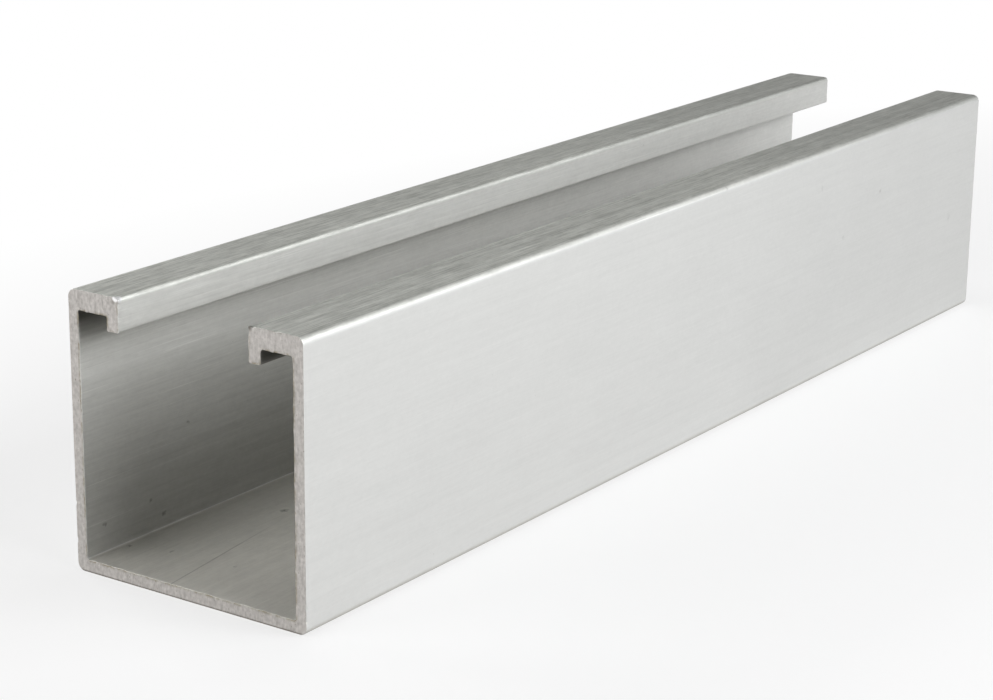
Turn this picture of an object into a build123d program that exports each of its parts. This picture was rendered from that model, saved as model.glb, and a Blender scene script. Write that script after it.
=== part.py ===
from build123d import *
import os

os.makedirs("parts", exist_ok=True)

# A cut length of extruded aluminium channel: a square C section whose slot is edged by two lips that
# hang down into the channel. It lies on its base with the slot upwards. Millimetres: X across the
# channel, Y along the length, Z up, with the origin in the middle of the base.

# Overall size of the piece of stock
profile_width = 60.0
profile_height = 60.0
stock_length = 300.0

# Wall thicknesses of the section
side_wall = 2.7
floor_wall = 2.8
flange_wall = 4.3
lip_wall = 3.1

# The pocket behind each lip, and how far a lip hangs below the underside of its flange
recess_width = 7.6
lip_projection = 3.1

# Rounds that the die gives the long edges
outer_edge_radius = 1.8
slot_edge_radius = 1.0
lip_end_radius = 0.5
recess_corner_radius = 0.4
floor_corner_radius = 0.6

# Places of the faces, from the middle of the section outwards and from the base upwards
outer_face = profile_width / 2
inner_face = outer_face - side_wall
lip_back = inner_face - recess_width
slot_face = lip_back - lip_wall
flange_underside = profile_height - flange_wall
lip_end = flange_underside - lip_projection


def mirrored(corners):
    """The same corners on the other side of the channel, in the order that carries the outline on."""
    return [(-x, z, radius) for x, z, radius in reversed(corners)]


def section_outline():
    """Corners of the C section, each with its round: up the right side, round its lip, down to the floor."""
    right_half = [
        (outer_face, 0, outer_edge_radius),
        (outer_face, profile_height, outer_edge_radius),
        (slot_face, profile_height, slot_edge_radius),
        (slot_face, lip_end, lip_end_radius),
        (lip_back, lip_end, lip_end_radius),
        (lip_back, flange_underside, recess_corner_radius),
        (inner_face, flange_underside, recess_corner_radius),
        (inner_face, floor_wall, floor_corner_radius),
    ]
    corners = right_half + mirrored(right_half)
    points = [(x, z) for x, z, radius in corners]
    rounds = [radius for x, z, radius in corners]
    return points, rounds


def channel_profile():
    """The section drawn out along the length, sawn square at both ends."""
    points, rounds = section_outline()
    with BuildPart() as profile:
        with BuildSketch(Plane.XZ):
            with BuildLine():
                FilletPolyline(points, radius=rounds, close=True)
            make_face()
        extrude(amount=stock_length / 2, both=True)
    return profile.part


export_step(channel_profile(), "parts/channel_profile.step")
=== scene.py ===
import math
import random

import bmesh
import bpy
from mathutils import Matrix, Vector, kdtree, noise


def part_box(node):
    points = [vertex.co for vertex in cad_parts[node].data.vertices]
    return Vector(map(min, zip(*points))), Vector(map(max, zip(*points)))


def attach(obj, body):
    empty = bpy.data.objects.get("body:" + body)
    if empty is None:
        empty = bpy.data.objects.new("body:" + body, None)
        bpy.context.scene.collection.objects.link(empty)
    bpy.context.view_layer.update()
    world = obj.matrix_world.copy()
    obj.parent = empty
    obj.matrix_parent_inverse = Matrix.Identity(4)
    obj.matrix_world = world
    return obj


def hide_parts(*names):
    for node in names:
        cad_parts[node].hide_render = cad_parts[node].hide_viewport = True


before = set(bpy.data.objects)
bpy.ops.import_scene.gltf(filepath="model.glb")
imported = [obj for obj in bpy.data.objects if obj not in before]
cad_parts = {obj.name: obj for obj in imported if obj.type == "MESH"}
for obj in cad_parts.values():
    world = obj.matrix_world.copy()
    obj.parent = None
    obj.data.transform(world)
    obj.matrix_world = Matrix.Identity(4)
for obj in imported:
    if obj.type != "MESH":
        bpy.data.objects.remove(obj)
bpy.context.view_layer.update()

MM = 0.001

# Camera. It stands to the right of the sawn near end and looks down into the slot, at the photograph's
# viewing angle. The photograph is cropped off centre, so the lens is shifted sideways.
camera_place = Vector((0.31216, -0.50107, 0.19014))
camera_azimuth = math.radians(36.43)
camera_pitch = math.radians(-16.42)
camera_lens = 91.6
crop_shift = 0.0938

camera_data = bpy.data.cameras.new("camera")
camera_data.sensor_width = 36.0
camera_data.lens = camera_lens
camera_data.shift_x = crop_shift
camera_data.clip_start = 10 * MM
camera_data.clip_end = 20.0
camera = bpy.data.objects.new("camera", camera_data)
camera.location = camera_place
camera.rotation_euler = (math.pi / 2 + camera_pitch, 0, camera_azimuth)
bpy.context.scene.collection.objects.link(camera)
bpy.context.scene.camera = camera

# Channel profile. One length of mill-finish aluminium, pressed hot through a die that leaves long fine
# lines on every face, then sawn square at both ends. The saw leaves a chipped rim with burrs, above all
# where the blade came out into the channel.
high_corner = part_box("channel_profile")[1]
outer_face = high_corner.x
profile_height = high_corner.z
half_length = high_corner.y
side_wall = 2.7 * MM
floor_wall = 2.8 * MM
flange_wall = 4.3 * MM
lip_wall = 3.1 * MM
recess_width = 7.6 * MM
lip_projection = 3.1 * MM
inner_face = outer_face - side_wall
lip_back = inner_face - recess_width
slot_face = lip_back - lip_wall
flange_underside = profile_height - flange_wall
lip_end = flange_underside - lip_projection

# Corners of the right half of the section, each with its round and the number of flats that draw it
right_corners = [
    (outer_face, 0, 1.8 * MM, 8),
    (outer_face, profile_height, 1.8 * MM, 8),
    (slot_face, profile_height, 1.0 * MM, 6),
    (slot_face, lip_end, 0.5 * MM, 4),
    (lip_back, lip_end, 0.5 * MM, 4),
    (lip_back, flange_underside, 0.4 * MM, 3),
    (inner_face, flange_underside, 0.4 * MM, 3),
    (inner_face, floor_wall, 0.6 * MM, 4),
]
left_corners = [(-x, z, radius, flats) for x, z, radius, flats in reversed(right_corners)]
corners = right_corners + left_corners

# The straight stretches are divided into columns, so that die lines and burrs have points to stand on. Places
# that agree to a micron count as one.
column_width = 0.4 * MM
micron = 0.001 * MM
rim_chip = 0.10 * MM
rim_inset = 0.08 * MM
rim_steps = [0.2 * MM, 0.4 * MM, 0.8 * MM, 1.6 * MM, 3 * MM, 6 * MM]
long_steps = 20


def select_where(piece, kind, test):
    """Selects only the vertices, edges or faces of the piece in edit mode that pass the test."""
    bpy.ops.mesh.select_mode(type=kind)
    bpy.ops.mesh.select_all(action="DESELECT")
    mesh = bmesh.from_edit_mesh(piece.data)
    elements = {"VERT": mesh.verts, "EDGE": mesh.edges, "FACE": mesh.faces}[kind]
    for element in elements:
        if test(element):
            element.select_set(True)
    mesh.select_flush_mode()
    bmesh.update_edit_mesh(piece.data)


near_rim = -half_length + rim_chip
first_x, first_z = corners[0][0], corners[0][1]
bpy.ops.object.select_all(action="DESELECT")
bpy.ops.mesh.primitive_plane_add(size=1 * MM, location=(first_x, near_rim, first_z))
profile = bpy.context.object
profile.name = "aluminium_channel"
bpy.ops.object.transform_apply(location=True)
bpy.ops.object.mode_set(mode="EDIT")
bpy.ops.mesh.select_all(action="SELECT")
bpy.ops.mesh.merge(type="CENTER")

# The outline is drawn corner by corner, closed to a face, and its corners are rounded
for start, stop in zip(corners, corners[1:]):
    stride = (stop[0] - start[0], 0, stop[1] - start[1])
    bpy.ops.mesh.extrude_vertices_move(TRANSFORM_OT_translate={"value": stride})
bpy.ops.mesh.select_all(action="SELECT")
bpy.ops.mesh.edge_face_add()
for radius, flats in sorted({(radius, flats) for x, z, radius, flats in corners}):
    places = [Vector((x, near_rim, z)) for x, z, r, n in corners if r == radius]
    select_where(profile, "VERT", lambda v: any((v.co - place).length < micron for place in places))
    bpy.ops.mesh.bevel(offset=radius, offset_type="OFFSET", segments=flats, profile=0.5, affect="VERTICES")

bpy.ops.mesh.select_all(action="SELECT")
bpy.ops.mesh.delete(type="ONLY_FACE")
outline = bmesh.from_edit_mesh(profile.data)
divisions = {round(edge.calc_length() / column_width) for edge in outline.edges}
for count in sorted(divisions - {0, 1}):
    select_where(profile, "EDGE", lambda edge: round(edge.calc_length() / column_width) == count)
    bpy.ops.mesh.subdivide(number_cuts=count - 1)
bpy.ops.mesh.select_all(action="SELECT")
bpy.ops.mesh.edge_face_add()

# Die lines: every column lies a few microns under the true face, some of them together in broad bands
band_width = 2.6 * MM
band_depth = 0.014 * MM
line_depth = 0.008 * MM
random.seed(11)
outline = bmesh.from_edit_mesh(profile.data)
outline.faces.ensure_lookup_table()
ring = [corner.vert for corner in outline.faces[0].loops]
turn = 1 if outline.faces[0].normal.y > 0 else -1
places = [vert.co.copy() for vert in ring]
outward_at = {}
for number, vert in enumerate(ring):
    before = places[number - 1]
    after = places[(number + 1) % len(ring)]
    along = (after - before).normalized()
    outward = Vector((-along.z, 0, along.x)) * turn
    band = 0.5 + 0.5 * noise.noise(places[number] / band_width)
    vert.co -= outward * (band_depth * band + line_depth * random.random())
    outward_at[round(vert.co.x / micron), round(vert.co.z / micron)] = outward
bmesh.update_edit_mesh(profile.data)

# Pressed out to its length, in short steps next to the two sawn ends
long_step = (2 * (half_length - rim_chip) - 2 * sum(rim_steps)) / long_steps
bpy.ops.mesh.select_all(action="SELECT")
for step in rim_steps + [long_step] * long_steps + rim_steps[::-1]:
    bpy.ops.mesh.extrude_region_move(TRANSFORM_OT_translate={"value": (0, step, 0)})

# Burrs lean out of the rim into the channel, where the blade left the metal, and chips lie under the rim
burr_reach = 0.8 * MM
burr_height = 0.16 * MM
burr_length = 1.9 * MM
chip_depth = 0.16 * MM
chip_length = 0.9 * MM
outer_setback = 0.07 * MM
channel_margin = 0.3 * MM
slot_round_depth = 1.1 * MM


def is_in_channel(spot):
    """Tells whether a spot of the section's outline is on the channel side."""
    beside = abs(spot.x) < inner_face + channel_margin
    return beside and floor_wall - channel_margin < spot.z < profile_height - slot_round_depth


channel_columns = [Vector((x, 0, z)) * micron for x, z in outward_at]
channel_columns = [column for column in channel_columns if is_in_channel(column)]
mesh = bmesh.from_edit_mesh(profile.data)
for vert in mesh.verts:
    outward = outward_at[round(vert.co.x / micron), round(vert.co.z / micron)]
    end = 1 if vert.co.y > 0 else -1
    reach = half_length - abs(vert.co.y)
    if reach > burr_reach:
        continue
    fade = (1 - reach / burr_reach) ** 2
    in_channel = is_in_channel(vert.co)
    seed = Vector((0, 7.3 * end, 0))
    long_wave = noise.noise(vert.co / burr_length + seed)
    short_wave = noise.noise(vert.co / (0.35 * burr_length) + seed)
    lean = -0.2 * burr_height * abs(long_wave)
    if in_channel:
        lean = burr_height * max(-0.5, long_wave + 0.9 * short_wave)
    if reach < 1.5 * rim_chip:
        gnaw = max(0, noise.noise(vert.co / chip_length - seed) - 0.05)
        vert.co.y -= end * (chip_depth * gnaw + (0 if in_channel else outer_setback))
    vert.co += outward * lean * fade

# Knocks in the rim of the near end: place on the section, distance from the end, width and depth, which is
# negative where the metal stands up into the slot
knocks = [
    (-19.6 * MM, 59.9 * MM, 0, 0.8 * MM, 0.14 * MM),
    (-17.9 * MM, 60.0 * MM, 1.0 * MM, 0.9 * MM, 0.26 * MM),
    (-16.7 * MM, 59.3 * MM, 0.1 * MM, 0.8 * MM, -0.34 * MM),
    (16.6 * MM, 58.9 * MM, 0, 0.6 * MM, 0.40 * MM),
    (17.7 * MM, 60.0 * MM, 0, 0.6 * MM, 0.45 * MM),
    (16.9 * MM, 59.7 * MM, 0.2 * MM, 0.5 * MM, -0.30 * MM),
    (18.6 * MM, 60.0 * MM, 0.9 * MM, 0.7 * MM, 0.24 * MM),
    (23.3 * MM, 60.0 * MM, 0, 0.8 * MM, 0.24 * MM),
    (27.4 * MM, 60.0 * MM, 0, 0.7 * MM, 0.20 * MM),
    (30.0 * MM, 5.9 * MM, 0, 0.7 * MM, 0.30 * MM),
    (30.0 * MM, 3.1 * MM, 0, 0.6 * MM, 0.24 * MM),
    (-30.0 * MM, 6.6 * MM, 0, 0.7 * MM, 0.30 * MM),
    (-30.0 * MM, 14.6 * MM, 0, 0.7 * MM, 0.30 * MM),
]
for x, z, setback, width, depth in knocks:
    centre = Vector((x, setback - half_length, z))
    near = min(outward_at, key=lambda key: math.hypot(key[0] * micron - x, key[1] * micron - z))
    push = outward_at[near]
    if setback == 0:
        push = (push - Vector((0, 0.7, 0))).normalized()
    for vert in mesh.verts:
        away = (vert.co - centre).length / width
        if away < 1:
            vert.co -= push * depth * (1 - away * away) ** 2
bmesh.update_edit_mesh(profile.data)

# Sawn faces: the rim is turned in to the plane of the cut, and the blade leaves a shallow upright grain in it
blade_centre = Vector((-0.240, 0, 0.010))
grain_width = 0.9 * MM
grain_depth = 0.012 * MM
pit_width = 0.8 * MM
pit_depth = 0.014 * MM
grain_cell = 0.35 * MM
select_where(profile, "FACE", lambda face: len(face.verts) > 100)
bpy.ops.mesh.inset(thickness=rim_inset, depth=0, use_even_offset=False)
mesh = bmesh.from_edit_mesh(profile.data)
for face in mesh.faces:
    for vert in face.verts if face.select else ():
        vert.co.y = math.copysign(half_length, vert.co.y)
bmesh.update_edit_mesh(profile.data)
bpy.ops.mesh.inset(thickness=rim_inset, depth=0, use_even_offset=False)
bpy.ops.mesh.hide(unselected=True)
for axis, low, high in ((0, -outer_face, outer_face), (2, 0, profile_height)):
    for number in range(1, round((high - low) / grain_cell)):
        cut_at = [0, 0, 0]
        cut_at[axis] = low + number * grain_cell
        cut_along = [0, 0, 0]
        cut_along[axis] = 1
        bpy.ops.mesh.select_all(action="SELECT")
        bpy.ops.mesh.bisect(plane_co=cut_at, plane_no=cut_along)
bpy.ops.mesh.reveal(select=False)
mesh = bmesh.from_edit_mesh(profile.data)
sawn_faces = [face for face in mesh.faces if all(half_length - abs(v.co.y) < micron for v in face.verts)]
for vert in {vert for face in sawn_faces for vert in face.verts}:
    from_blade = (vert.co - blade_centre)
    from_blade.y = 0
    grain = noise.noise(Vector((from_blade.length / grain_width, vert.co.y, vert.co.z / (14 * grain_width))))
    pits = noise.noise(vert.co / pit_width + Vector((0, 0, 40)))
    vert.co.y -= math.copysign(grain_depth * (0.5 + grain) + pit_depth * (0.5 + pits), vert.co.y)
bmesh.update_edit_mesh(profile.data)

# Scratch on the channel floor, dragged in from the near end: two shoulders are cut and the line between sinks
scratch_start = Vector((-4.6 * MM, -150 * MM, 0))
scratch_stop = Vector((-9.3 * MM, -114.6 * MM, 0))
scratch_width = 0.3 * MM
scratch_depth = 0.06 * MM
course = (scratch_stop - scratch_start).normalized()
sideways = Vector((-course.y, course.x, 0))


def scratched(face):
    """Tells whether a face of the channel floor lies on the scratch."""
    middle = face.calc_center_median()
    along = (middle - scratch_start).dot(course)
    beside = abs((middle - scratch_start).dot(sideways))
    on_floor = face.normal.z > 0.9 and abs(middle.z - floor_wall) < 0.1 * MM
    return on_floor and 1.2 * MM < along < (scratch_stop - scratch_start).length and beside < 1.5 * MM


for side in (-0.5, 0.5, 0):
    select_where(profile, "FACE", scratched)
    cut_at = scratch_start + sideways * side * scratch_width
    bpy.ops.mesh.bisect(plane_co=cut_at, plane_no=sideways)
mesh = bmesh.from_edit_mesh(profile.data)
for vert in mesh.verts:
    if vert.select and abs((vert.co - scratch_start).dot(sideways)) < 0.01 * MM:
        along = (vert.co - scratch_start).dot(course) / (scratch_stop - scratch_start).length
        vert.co.z -= scratch_depth * min(1, 6 * along, 2.5 * (1 - along))
for vert in mesh.verts:
    vert.co.x = max(-outer_face, min(outer_face, vert.co.x))
    vert.co.y = max(-half_length, min(half_length, vert.co.y))
    vert.co.z = max(0, min(profile_height, vert.co.z))
bmesh.update_edit_mesh(profile.data)

bpy.ops.mesh.select_all(action="SELECT")
bpy.ops.mesh.normals_make_consistent(inside=False)
bpy.ops.object.mode_set(mode="OBJECT")
bpy.ops.object.shade_smooth_by_angle(angle=math.radians(30))


def to_linear(code):
    """Turns an sRGB hex colour into the linear colour that a shader takes."""
    parts = [int(code[place:place + 2], 16) / 255 for place in (1, 3, 5)]
    return [part / 12.92 if part < 0.04045 else ((part + 0.055) / 1.055) ** 2.4 for part in parts] + [1]


def add_node(tree, kind, inputs, **settings):
    """Adds a node with its settings, and gives each named input a value or the output that feeds it."""
    added = tree.nodes.new(kind)
    for name, value in settings.items():
        setattr(added, name, value)
    for name, value in inputs.items():
        if isinstance(value, bpy.types.NodeSocket):
            tree.links.new(value, added.inputs[name])
        else:
            added.inputs[name].default_value = value
    return added


# Mill-finish aluminium, as it leaves the die: bare metal with a soft satin gloss, silver grey, drawn along
# its length with fine lines, a few deeper scratches and pale rubs, faintly clouded, with dark specks inside.
# Real die lines are finer, about 0.05 to 0.2 mm apart, and are drawn here at 0.4 mm so that they show.
mill = bpy.data.materials.new("mill_finish_aluminium")
mill.use_nodes = True
tree = mill.node_tree
tree.nodes.clear()
place = add_node(tree, "ShaderNodeTexCoord", {}).outputs["Object"]
apart = add_node(tree, "ShaderNodeSeparateXYZ", {0: place}).outputs
from_middle = add_node(tree, "ShaderNodeMath", {0: apart["X"]}, operation="ABSOLUTE").outputs[0]

# Each pattern is a noise with blots of the given size along X, Y and Z in millimetres
patterns = {}
for name, size, detail, spin, offset in [
    ("lines", (0.4, 60, 0.4), 3.0, 0, (0, 0, 0)),
    ("bands", (2.2, 400, 2.2), 2.0, 0, (3, 0, 5)),
    ("clouds", (9, 20, 9), 3.0, 0, (0, 0, 0)),
    ("grain", (0.8, 1.4, 0.8), 2.0, 0, (1, 6, 2)),
    ("smears", (1.6, 5, 1.6), 3.0, 0, (7, 1, 4)),
    ("rubs", (0.5, 12, 0.5), 3.0, 0, (0, 4, 9)),
    ("scratches", (0.25, 34, 0.25), 1.0, 0, (8, 2, 0)),
    ("slant", (0.25, 18, 0.6), 0.0, math.radians(14), (0, 0, 0)),
    ("blots", (0.5, 0.9, 0.5), 1.0, 0, (5, 5, 5)),
]:
    laid = add_node(tree, "ShaderNodeMapping", {
        "Vector": place, "Scale": [1 / (length * MM) for length in size],
        "Rotation": (0, 0, spin), "Location": offset}).outputs[0]
    patterns[name] = add_node(tree, "ShaderNodeTexNoise", {
        "Vector": laid, "Scale": 1.0, "Detail": detail, "Roughness": 0.6}).outputs["Fac"]

# Zones of the profile, each a range along one axis that goes from 0 to 1: the outer sides, the flange tops,
# the height over the floor, the recess behind the lips, the inner corners, the lower edges and the far part
zones = {}
for name, along_axis, start, stop in [
    ("outside", from_middle, outer_face - 0.20 * MM, outer_face - 0.05 * MM),
    ("top", apart["Z"], profile_height - 1.5 * MM, profile_height - 0.1 * MM),
    ("raised", apart["Z"], 8 * MM, 36 * MM),
    ("upper", apart["Z"], 14 * MM, 44 * MM),
    ("under_flange", apart["Z"], lip_end - 5 * MM, flange_underside - 1.5 * MM),
    ("below_top", apart["Z"], flange_underside + 1.0 * MM, flange_underside + 0.5 * MM),
    ("behind_lip", from_middle, lip_back - 0.6 * MM, lip_back - 0.1 * MM),
    ("within", from_middle, inner_face + 0.8 * MM, inner_face + 0.4 * MM),
    ("corner_side", from_middle, inner_face - 0.36 * MM, inner_face - 0.20 * MM),
    ("corner_foot", apart["Z"], floor_wall + 0.36 * MM, floor_wall + 0.20 * MM),
    ("low", apart["Z"], 1.5 * MM, 0.4 * MM),
    ("beside_floor", from_middle, outer_face - 2.2 * MM, outer_face - 1.2 * MM),
    ("on_floor", apart["Z"], floor_wall + 0.3 * MM, floor_wall + 0.1 * MM),
    ("far_part", apart["Y"], -70 * MM, 90 * MM),
    ("far_end", apart["Y"], 10 * MM, 110 * MM),
    ("not_outer", from_middle, outer_face - 0.05 * MM, outer_face - 0.20 * MM),
    ("lip_face", from_middle, slot_face + 1.2 * MM, slot_face + 0.6 * MM),
]:
    zones[name] = add_node(tree, "ShaderNodeMapRange", {
        "Value": along_axis, "From Min": start, "From Max": stop}).outputs[0]
# Masks for the painted shade behind the lips, along the lower edges and towards the far end, and for the
# painted highlight in the inner corners
for name, first, second in [
    ("recess", "under_flange", "below_top"),
    ("recess", "recess", "behind_lip"),
    ("recess", "recess", "within"),
    ("corner_line", "corner_side", "corner_foot"),
    ("corner_line", "corner_line", "within"),
    ("lower_edge", "low", "beside_floor"),
    ("far_shade", "far_end", "not_outer"),
]:
    zones[name] = add_node(tree, "ShaderNodeMath", {
        0: zones[first], 1: zones[second]}, operation="MULTIPLY").outputs[0]

# Strength of the lines. The flange tops show every line, the inside shows them less towards the floor and
# the far end, and the outer sides are nearly smooth.
lined = add_node(tree, "ShaderNodeMapRange", {
    "Value": zones["raised"], "To Min": 0.30, "To Max": 0.70}).outputs[0]
fading = add_node(tree, "ShaderNodeMapRange", {
    "Value": zones["far_part"], "To Min": 1.0, "To Max": 0.35}).outputs[0]
lined = add_node(tree, "ShaderNodeMath", {0: lined, 1: fading}, operation="MULTIPLY").outputs[0]
top_lined = add_node(tree, "ShaderNodeMapRange", {
    "Value": zones["far_part"], "To Min": 1.2, "To Max": 0.85}).outputs[0]
lined = add_node(tree, "ShaderNodeMix", {
    "Factor": zones["top"], "A": lined, "B": top_lined}).outputs["Result"]
lined = add_node(tree, "ShaderNodeMix", {
    "Factor": zones["outside"], "A": lined, "B": 0.08}).outputs["Result"]

# The lines themselves: fine lines, broad bands, rubs and scratches, with more rubs and smears on the tops
cut_in = add_node(tree, "ShaderNodeMapRange", {
    "Value": patterns["scratches"], "From Min": 0.66, "From Max": 0.74}).outputs[0]
slanting = add_node(tree, "ShaderNodeMapRange", {
    "Value": patterns["slant"], "From Min": 0.74, "From Max": 0.80}).outputs[0]
drawn = add_node(tree, "ShaderNodeMath", {
    0: patterns["lines"], 1: 1.6, 2: patterns["bands"]}, operation="MULTIPLY_ADD").outputs[0]
drawn = add_node(tree, "ShaderNodeMath", {
    0: patterns["rubs"], 1: 0.8, 2: drawn}, operation="MULTIPLY_ADD").outputs[0]
top_drawn = add_node(tree, "ShaderNodeMath", {
    0: patterns["rubs"], 1: 2.2, 2: patterns["lines"]}, operation="MULTIPLY_ADD").outputs[0]
top_drawn = add_node(tree, "ShaderNodeMath", {
    0: patterns["smears"], 1: 0.6, 2: top_drawn}, operation="MULTIPLY_ADD").outputs[0]
top_drawn = add_node(tree, "ShaderNodeMath", {0: top_drawn, 1: 0.2}, operation="SUBTRACT").outputs[0]
drawn = add_node(tree, "ShaderNodeMix", {
    "Factor": zones["top"], "A": drawn, "B": top_drawn}).outputs["Result"]
drawn = add_node(tree, "ShaderNodeMath", {0: drawn, 1: cut_in}, operation="ADD").outputs[0]
drawn = add_node(tree, "ShaderNodeMath", {0: drawn, 1: -1.7}, operation="ADD").outputs[0]
drawn = add_node(tree, "ShaderNodeMath", {0: drawn, 1: lined}, operation="MULTIPLY").outputs[0]

# Tone, from the lines, broad clouds, a fine mottle and smears, which are fainter on the outer sides
clouded = add_node(tree, "ShaderNodeMapRange", {
    "Value": patterns["clouds"], "To Min": -0.125, "To Max": 0.125}).outputs[0]
grain_strength = add_node(tree, "ShaderNodeMapRange", {
    "Value": zones["outside"], "To Min": 0.50, "To Max": 0.26}).outputs[0]
speckled = add_node(tree, "ShaderNodeMath", {0: patterns["grain"], 1: -0.5}, operation="ADD").outputs[0]
speckled = add_node(tree, "ShaderNodeMath", {
    0: speckled, 1: grain_strength, 2: clouded}, operation="MULTIPLY_ADD").outputs[0]
smear_strength = add_node(tree, "ShaderNodeMapRange", {
    "Value": zones["outside"], "To Min": 0.60, "To Max": 0.05}).outputs[0]
smeared = add_node(tree, "ShaderNodeMath", {0: patterns["smears"], 1: -0.5}, operation="ADD").outputs[0]
smeared = add_node(tree, "ShaderNodeMath", {
    0: smeared, 1: smear_strength, 2: speckled}, operation="MULTIPLY_ADD").outputs[0]
tone = add_node(tree, "ShaderNodeMath", {0: drawn, 1: smeared}, operation="ADD").outputs[0]
tone = add_node(tree, "ShaderNodeMapRange", {"Value": tone, "From Min": -0.6, "From Max": 0.6}).outputs[0]

# Each zone has a dark and a light grey, chosen so that its tone comes near the real one in this light. The
# differences between the zones are partly painted light and shade, above all inside: the walls low down
# inside are painted duller, and the upper inner walls, the lip faces and the channel floor lighter.
colour = add_node(tree, "ShaderNodeMix", {
    "Factor": tone, "A": to_linear("#BEBEBB"), "B": to_linear("#D9D9D6")}, data_type="RGBA").outputs["Result"]
for name, dark_grey, light_grey in [
    ("upper", "#DDDDDA", "#F8F8F5"),
    ("lip_face", "#D4D4D1", "#F1F1EE"),
    ("on_floor", "#DDDBD5", "#F9F7F1"),
    ("top", "#C4C5BF", "#F2F3ED"),
    ("outside", "#CCCCCA", "#E9E9E7"),
]:
    grey = add_node(tree, "ShaderNodeMix", {
        "Factor": tone, "A": to_linear(dark_grey), "B": to_linear(light_grey)},
        data_type="RGBA").outputs["Result"]
    colour = add_node(tree, "ShaderNodeMix", {
        "Factor": zones[name], "A": colour, "B": grey}, data_type="RGBA").outputs["Result"]

# Painted shade and a painted highlight: the profile is painted darker behind the lips, along the lower edges
# and a little towards the far end, and brighter along the inner corners, where the fillet catches the light.
# Oil and dust would do that and so would shade, so the cause is a guess.
for name, strength, painted_colour in [
    ("recess", 0.88, "#5C5A53"),
    ("lower_edge", 0.72, "#6E6D69"),
    ("far_shade", 0.18, "#8C8C8A"),
    ("corner_line", 0.60, "#FFFFFC"),
]:
    amount = add_node(tree, "ShaderNodeMath", {0: zones[name], 1: strength}, operation="MULTIPLY").outputs[0]
    colour = add_node(tree, "ShaderNodeMix", {
        "Factor": amount, "A": colour, "B": to_linear(painted_colour)}, data_type="RGBA").outputs["Result"]

# Dark specks of dirt, most of them inside the near end, and one of painted shade in the torn corner of the
# right lip: place, radius and strength. Blots of about 1 mm warp them to ragged outlines.
specks = [
    ((-inner_face, -130.6 * MM, 9.9 * MM), 0.50 * MM, 0.40),
    ((-inner_face, -126.4 * MM, 5.9 * MM), 0.60 * MM, 0.45),
    ((-inner_face, -144.5 * MM, 8.7 * MM), 0.55 * MM, 0.45),
    ((-25.8 * MM, -139.1 * MM, floor_wall), 0.70 * MM, 0.40),
    ((-16.5 * MM, -136.3 * MM, floor_wall), 0.45 * MM, 0.30),
    ((-0.6 * MM, -135.2 * MM, floor_wall), 0.50 * MM, 0.35),
    ((-13.2 * MM, -103.5 * MM, floor_wall), 1.00 * MM, 0.50),
    ((-inner_face, -118.0 * MM, 24.0 * MM), 0.50 * MM, 0.35),
    # Painted shade in the torn corner of the right lip
    ((17.2 * MM, -149.8 * MM, 59.6 * MM), 0.90 * MM, 0.85),
    ((outer_face, 9.2 * MM, 59.3 * MM), 0.60 * MM, 0.40),
    ((outer_face, 90.7 * MM, 43.8 * MM), 0.60 * MM, 0.20),
    ((outer_face, 57.6 * MM, 50.4 * MM), 0.80 * MM, 0.10),
    ((outer_face, 70.6 * MM, 35.2 * MM), 0.80 * MM, 0.10),
    ((outer_face, 134.4 * MM, 28.2 * MM), 1.20 * MM, 0.10),
]
warp_reach = (1.2 * MM, 2.4 * MM, 1.2 * MM)
warp = add_node(tree, "ShaderNodeTexNoise", {
    "Vector": place, "Scale": 900.0, "Detail": 2.0}).outputs["Color"]
warp = add_node(tree, "ShaderNodeVectorMath", {0: warp, 1: (0.5, 0.5, 0.5)}, operation="SUBTRACT").outputs[0]
ragged = add_node(tree, "ShaderNodeVectorMath", {
    0: warp, 1: warp_reach, 2: place}, operation="MULTIPLY_ADD").outputs[0]
dirt_and_shade = add_node(tree, "ShaderNodeMapRange", {
    "Value": patterns["blots"], "From Min": 0.80, "From Max": 0.86, "To Max": 0.4}).outputs[0]
for centre, radius, strength in specks:
    away = add_node(tree, "ShaderNodeVectorMath", {
        0: ragged, 1: centre}, operation="DISTANCE").outputs["Value"]
    speck = add_node(tree, "ShaderNodeMapRange", {
        "Value": away, "From Min": 0.2 * radius, "From Max": 1.1 * radius,
        "To Min": strength, "To Max": 0.0}).outputs[0]
    dirt_and_shade = add_node(tree, "ShaderNodeMath", {0: dirt_and_shade, 1: speck}, operation="MAXIMUM").outputs[0]

# The scratch on the floor is dark along its first part
from_start = add_node(tree, "ShaderNodeVectorMath", {
    0: place, 1: scratch_start}, operation="SUBTRACT").outputs[0]
beside = add_node(tree, "ShaderNodeVectorMath", {
    0: from_start, 1: sideways}, operation="DOT_PRODUCT").outputs["Value"]
beside = add_node(tree, "ShaderNodeMath", {0: beside}, operation="ABSOLUTE").outputs[0]
beside = add_node(tree, "ShaderNodeMapRange", {
    "Value": beside, "From Min": 0.3 * scratch_width, "From Max": 0.8 * scratch_width,
    "To Min": 1.0, "To Max": 0.0}).outputs[0]
along = add_node(tree, "ShaderNodeVectorMath", {
    0: from_start, 1: course}, operation="DOT_PRODUCT").outputs["Value"]
along = add_node(tree, "ShaderNodeMapRange", {
    "Value": along, "From Min": 20 * MM, "From Max": 42 * MM, "To Min": 0.26, "To Max": 0.0}).outputs[0]
scratched_dark = add_node(tree, "ShaderNodeMath", {0: beside, 1: along}, operation="MULTIPLY").outputs[0]
scratched_dark = add_node(tree, "ShaderNodeMath", {
    0: scratched_dark, 1: zones["on_floor"]}, operation="MULTIPLY").outputs[0]
dirt_and_shade = add_node(tree, "ShaderNodeMath", {0: dirt_and_shade, 1: scratched_dark}, operation="MAXIMUM").outputs[0]
colour = add_node(tree, "ShaderNodeMix", {
    "Factor": dirt_and_shade, "A": colour, "B": to_linear("#4E4740")}, data_type="RGBA").outputs["Result"]
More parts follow.
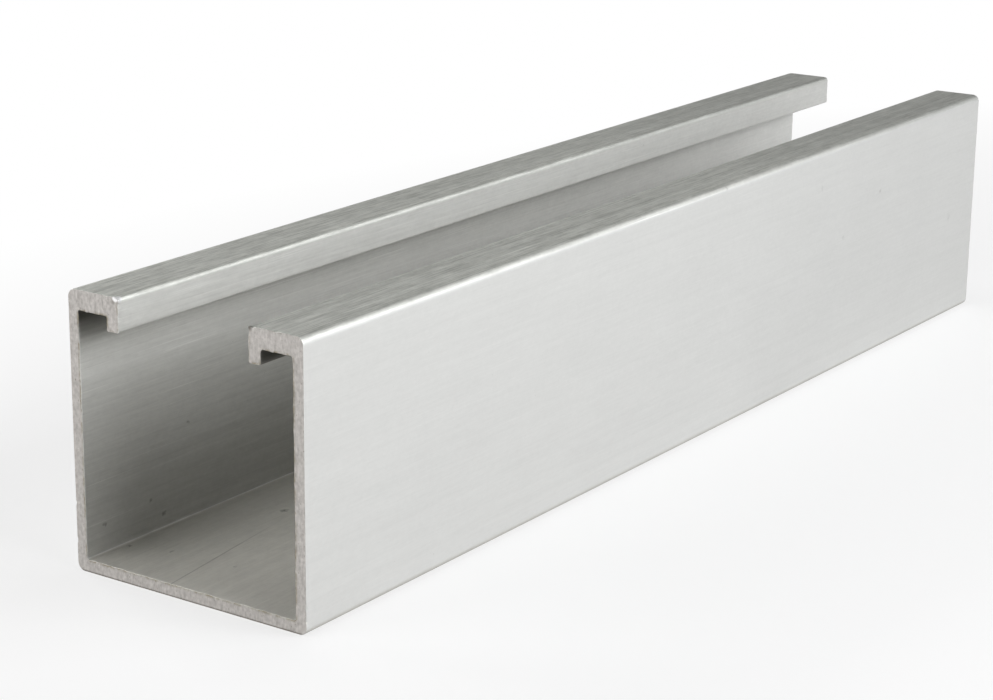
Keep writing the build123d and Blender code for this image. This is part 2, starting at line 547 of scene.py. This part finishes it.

# Painted highlight on the curled burr at the left lip corner
away = add_node(tree, "ShaderNodeVectorMath", {
    0: place, 1: (-16.9 * MM, -149.7 * MM, 59.8 * MM)}, operation="DISTANCE").outputs["Value"]
burr_highlight = add_node(tree, "ShaderNodeMapRange", {
    "Value": away, "From Min": 0.8 * MM, "From Max": 1.4 * MM, "To Min": 1.0, "To Max": 0.0}).outputs[0]
colour = add_node(tree, "ShaderNodeMix", {
    "Factor": burr_highlight, "A": colour, "B": to_linear("#FFFFFF")}, data_type="RGBA").outputs["Result"]

# Gloss and relief follow the lines too
worn = add_node(tree, "ShaderNodeMath", {
    0: patterns["rubs"], 1: patterns["bands"]}, operation="ADD").outputs[0]
roughness = add_node(tree, "ShaderNodeMapRange", {
    "Value": worn, "From Min": 0.7, "From Max": 1.3, "To Min": 0.70, "To Max": 0.60}).outputs[0]
relief = add_node(tree, "ShaderNodeMath", {
    0: patterns["bands"], 1: 2.0, 2: patterns["lines"]}, operation="MULTIPLY_ADD").outputs[0]
relief = add_node(tree, "ShaderNodeMath", {
    0: slanting, 1: -0.5, 2: relief}, operation="MULTIPLY_ADD").outputs[0]
bump_strength = add_node(tree, "ShaderNodeMath", {0: lined, 1: 1.0}, operation="MINIMUM").outputs[0]
bump = add_node(tree, "ShaderNodeBump", {
    "Height": relief, "Distance": 0.007 * MM, "Strength": bump_strength}).outputs[0]
shader = add_node(tree, "ShaderNodeBsdfPrincipled", {
    "Base Color": colour, "Metallic": 1.0, "Roughness": roughness, "Normal": bump}).outputs[0]
add_node(tree, "ShaderNodeOutputMaterial", {"Surface": shader})
profile.data.materials.append(mill)

# Sawn aluminium: warmer and duller than the drawn faces, grey with a fine mottle of torn metal and upright
# drag marks, and browned along the rim of the channel. The mottle is real size, 0.3 to 1 mm.
sawn = bpy.data.materials.new("sawn_aluminium")
sawn.use_nodes = True
tree = sawn.node_tree
tree.nodes.clear()
place = add_node(tree, "ShaderNodeTexCoord", {}).outputs["Object"]
apart = add_node(tree, "ShaderNodeSeparateXYZ", {0: place}).outputs
patterns = {}
for name, size, detail, spin, offset in [
    ("mottle", (0.7, 0.7, 0.9), 4.0, 0, (0, 0, 0)),
    ("drag", (0.45, 2, 2.5), 2.0, math.radians(8), (0, 0, 0)),
    ("tears", (0.5, 0.5, 0.7), 1.0, 0, (3, 3, 3)),
    ("stains", (1.1, 1.1, 2.2), 2.0, 0, (6, 2, 1)),
]:
    laid = add_node(tree, "ShaderNodeMapping", {
        "Vector": place, "Scale": [1 / (length * MM) for length in size],
        "Rotation": (0, spin, 0), "Location": offset}).outputs[0]
    patterns[name] = add_node(tree, "ShaderNodeTexNoise", {
        "Vector": laid, "Scale": 1.0, "Detail": detail, "Roughness": 0.6}).outputs["Fac"]
relief = add_node(tree, "ShaderNodeMath", {
    0: patterns["mottle"], 1: patterns["drag"]}, operation="ADD").outputs[0]
tone = add_node(tree, "ShaderNodeMapRange", {"Value": relief, "From Min": 0.68, "From Max": 1.32}).outputs[0]
colour = add_node(tree, "ShaderNodeMix", {
    "Factor": tone, "A": to_linear("#B5B1AD"), "B": to_linear("#D4D0CC")}, data_type="RGBA").outputs["Result"]
torn = add_node(tree, "ShaderNodeMapRange", {
    "Value": patterns["tears"], "From Min": 0.66, "From Max": 0.76, "To Max": 0.9}).outputs[0]
colour = add_node(tree, "ShaderNodeMix", {
    "Factor": torn, "A": colour, "B": to_linear("#99938A")}, data_type="RGBA").outputs["Result"]

# The rim of the channel is brown in patches, as dried coolant leaves it. The lower edge, the torn corner of
# the right lip and the hollow under the burr of the left lip have painted shade, and that burr has a painted
# highlight.
rim = add_node(tree, "ShaderNodeAttribute", {}, attribute_name="rim").outputs["Fac"]
patchy = add_node(tree, "ShaderNodeMapRange", {
    "Value": patterns["stains"], "From Min": 0.42, "From Max": 0.58, "To Min": 0.1, "To Max": 1.0}).outputs[0]
stain = add_node(tree, "ShaderNodeMath", {0: rim, 1: patchy}, operation="MULTIPLY").outputs[0]
colour = add_node(tree, "ShaderNodeMix", {
    "Factor": stain, "A": colour, "B": to_linear("#8C8268")}, data_type="RGBA").outputs["Result"]
# Painted shade along the lower edge of the sawn face
low = add_node(tree, "ShaderNodeMapRange", {
    "Value": apart["Z"], "From Min": 0.15 * MM, "From Max": 0.5 * MM,
    "To Min": 0.85, "To Max": 0.0}).outputs[0]
colour = add_node(tree, "ShaderNodeMix", {
    "Factor": low, "A": colour, "B": to_linear("#5F584E")}, data_type="RGBA").outputs["Result"]
# Painted shade in the torn corner of the right lip and under the left lip's burr, and a painted highlight on
# that burr
for centre, full_to, gone_at, strength, spot_colour in [
    ((16.8 * MM, -150 * MM, 59.7 * MM), 0.4 * MM, 1.0 * MM, 0.75, "#5F584E"),
    ((-17.9 * MM, -150 * MM, 58.9 * MM), 0.2 * MM, 0.7 * MM, 0.45, "#5F584E"),
    ((-17.2 * MM, -150 * MM, 59.9 * MM), 0.6 * MM, 1.0 * MM, 1.0, "#FFFFFF"),
]:
    away = add_node(tree, "ShaderNodeVectorMath", {
        0: place, 1: centre}, operation="DISTANCE").outputs["Value"]
    spot = add_node(tree, "ShaderNodeMapRange", {
        "Value": away, "From Min": full_to, "From Max": gone_at,
        "To Min": strength, "To Max": 0.0}).outputs[0]
    colour = add_node(tree, "ShaderNodeMix", {
        "Factor": spot, "A": colour, "B": to_linear(spot_colour)}, data_type="RGBA").outputs["Result"]
roughness = add_node(tree, "ShaderNodeMapRange", {
    "Value": patterns["mottle"], "From Min": 0.35, "From Max": 0.65,
    "To Min": 0.66, "To Max": 0.50}).outputs[0]
bump = add_node(tree, "ShaderNodeBump", {
    "Height": relief, "Distance": 0.035 * MM, "Strength": 1.0}).outputs[0]
shader = add_node(tree, "ShaderNodeBsdfPrincipled", {
    "Base Color": colour, "Metallic": 1.0, "Roughness": roughness, "Normal": bump}).outputs[0]
add_node(tree, "ShaderNodeOutputMaterial", {"Surface": shader})
profile.data.materials.append(sawn)
sawn_within = 0.05 * MM
for face in profile.data.polygons:
    if all(half_length - abs(profile.data.vertices[number].co.y) < sawn_within for number in face.vertices):
        face.material_index = 1

# The stain follows the rim of the channel, 0.6 mm wide
stain_width = 0.6 * MM
stain_depth = 0.3 * MM
rim_places = kdtree.KDTree(len(channel_columns))
for number, column in enumerate(channel_columns):
    rim_places.insert(column, number)
rim_places.balance()
rim_layer = profile.data.attributes.new("rim", "FLOAT", "POINT")
for vert in profile.data.vertices:
    if half_length - abs(vert.co.y) < stain_depth:
        nearest = rim_places.find((vert.co.x, 0, vert.co.z))
        rim_layer.data[vert.index].value = max(0, 1 - nearest[2] / stain_width)

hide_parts("channel_profile")
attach(profile, "root")

# Floor. A sheet of matt pale paper on a light table, that runs past the picture on every side. It is lit
# through from below: partly round the profile, where it still takes a soft shadow, and to white further off.
floor_size = 8.0
floor_drop = 0.2 * MM
shadow_reach = (0.16, 0.32)
shadow_lift = 0.65
bpy.ops.object.select_all(action="DESELECT")
bpy.ops.mesh.primitive_plane_add(size=floor_size, location=(0, 0, -floor_drop))
floor = bpy.context.object
floor.name = "paper_floor"
bpy.ops.object.transform_apply(location=True)
paper = bpy.data.materials.new("matt_pale_paper")
paper.use_nodes = True
tree = paper.node_tree
tree.nodes.clear()
place = add_node(tree, "ShaderNodeTexCoord", {}).outputs["Object"]
reach = add_node(tree, "ShaderNodeVectorMath", {
    0: place, 1: (1 / shadow_reach[0], 1 / shadow_reach[1], 0)}, operation="MULTIPLY").outputs[0]
reach = add_node(tree, "ShaderNodeVectorMath", {0: reach}, operation="LENGTH").outputs["Value"]
far_off = add_node(tree, "ShaderNodeMapRange", {
    "Value": reach, "From Min": 0.75, "From Max": 1.5, "To Min": shadow_lift, "To Max": 1.0}).outputs[0]
rays = add_node(tree, "ShaderNodeLightPath", {}).outputs
seen = add_node(tree, "ShaderNodeMath", {
    0: rays["Is Camera Ray"], 1: rays["Is Glossy Ray"]}, operation="MAXIMUM").outputs[0]
seen = add_node(tree, "ShaderNodeMath", {
    0: seen, 1: rays["Is Transmission Ray"]}, operation="MAXIMUM").outputs[0]
lit_through = add_node(tree, "ShaderNodeMath", {0: far_off, 1: seen}, operation="MULTIPLY").outputs[0]
matt = add_node(tree, "ShaderNodeBsdfDiffuse", {"Color": to_linear("#FAFAFA")}).outputs[0]
white = add_node(tree, "ShaderNodeEmission", {"Color": to_linear("#FFFFFF"), "Strength": 1.0}).outputs[0]
shader = add_node(tree, "ShaderNodeMixShader", {0: lit_through, 1: matt, 2: white}).outputs[0]
add_node(tree, "ShaderNodeOutputMaterial", {"Surface": shader})
floor.data.materials.append(paper)

# Studio light. White softboxes round the table in a dark room: a wide one at the right that draws the bright
# line along the rounded edge, a weaker and slightly cooler one behind it, two that open up the left and the
# sawn end, and a faint one overhead.
aim = Vector((0, 0, 0.03))
softboxes = [
    ("softbox_right", (0.70, -0.05, 0.45), (0.60, 0.45), 4.5),
    ("softbox_right_rear", (0.63, 0.29, 0.38), (0.50, 0.60), 2.7),
    ("softbox_front_left", (-0.45, -0.75, 0.40), (0.50, 0.50), 3.5),
    ("softbox_left", (-0.90, 0.00, 0.40), (0.60, 0.50), 5.0),
    ("softbox_overhead", (0.00, 0.00, 1.00), (0.70, 0.70), 0.5),
]
for name, centre, (width, height), brightness in softboxes:
    softbox = bpy.data.lights.new(name, "AREA")
    softbox.shape = "RECTANGLE"
    softbox.size = width
    softbox.size_y = height
    softbox.energy = brightness * math.pi * width * height
    softbox.color = (0.95, 0.975, 1.0) if name == "softbox_right_rear" else (1.0, 1.0, 1.0)
    stand = bpy.data.objects.new(name, softbox)
    stand.location = centre
    stand.rotation_euler = (aim - Vector(centre)).to_track_quat("-Z", "Y").to_euler()
    bpy.context.scene.collection.objects.link(stand)

world = bpy.data.worlds.new("dim_white_room")
bpy.context.scene.world = world
world.use_nodes = True
tree = world.node_tree
tree.nodes.clear()
surround = add_node(tree, "ShaderNodeBackground", {
    "Color": to_linear("#FFFFFF"), "Strength": 0.06}).outputs[0]
add_node(tree, "ShaderNodeOutputWorld", {"Surface": surround})
bpy.context.scene.view_settings.view_transform = "Standard"
